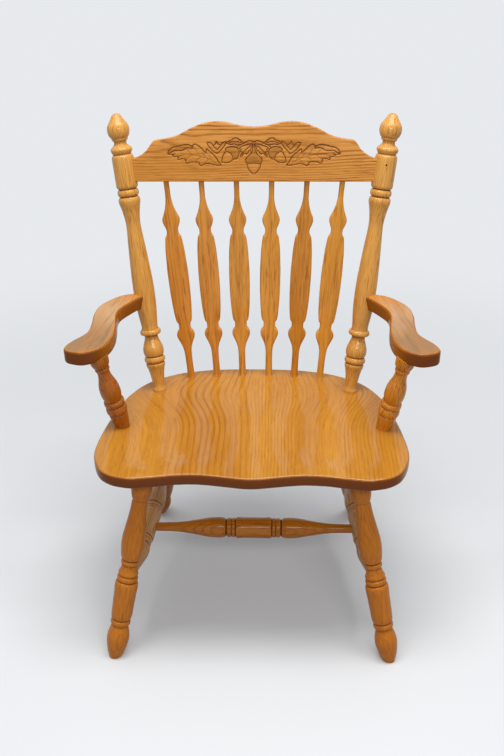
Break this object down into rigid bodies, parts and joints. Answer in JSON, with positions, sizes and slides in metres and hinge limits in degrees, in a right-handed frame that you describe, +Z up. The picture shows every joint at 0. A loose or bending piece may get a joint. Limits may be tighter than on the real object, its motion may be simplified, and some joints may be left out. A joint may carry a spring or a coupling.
{
  "type": "captains chair",
  "caption": "Wooden armchair: dished saddle seat, raked turned legs with an H stretcher, flat arrow spindles, carved shaped crest rail between finial posts, and curved arms on turned supports.",
  "frame": {"origin": "on the floor, under the middle of the chair's box", "axes": "+X to the viewer's right when facing the chair, +Y to the back of the chair, +Z up from the floor"},
  "size_m": [0.7218, 0.5402, 1.0087],
  "materials": {
    "seat_oak": "golden oak stain under gloss lacquer",
    "turned_oak": "golden oak stain under gloss lacquer, darker in the grooves",
    "crest_oak": "golden oak stain under gloss lacquer",
    "spindle_oak": "golden oak stain under gloss lacquer",
    "arm_oak": "golden oak, lacquer worn pale on top",
    "steel": "plain wire and screw steel"
  },
  "bodies": {
    "root": {"seat": "seat_oak", "leg_front_left": "turned_oak", "leg_rear_left": "turned_oak", "side_stretcher_left": "turned_oak", "leg_front_right": "turned_oak", "leg_rear_right": "turned_oak", "side_stretcher_right": "turned_oak", "center_stretcher": "turned_oak", "back_post_left": "turned_oak", "arm_left": "arm_oak", "arm_support_left": "turned_oak", "crest_pin_left": "steel", "arm_screw_left": "steel", "arm_plug_left": "turned_oak", "back_post_right": "turned_oak", "arm_right": "arm_oak", "arm_support_right": "turned_oak", "crest_pin_right": "steel", "arm_screw_right": "steel", "arm_plug_right": "turned_oak", "spindle_1": "spindle_oak", "spindle_2": "spindle_oak", "spindle_3": "spindle_oak", "spindle_4": "spindle_oak", "spindle_5": "spindle_oak", "spindle_6": "spindle_oak", "crest_rail": "crest_oak"}
  },
  "joints": []
}
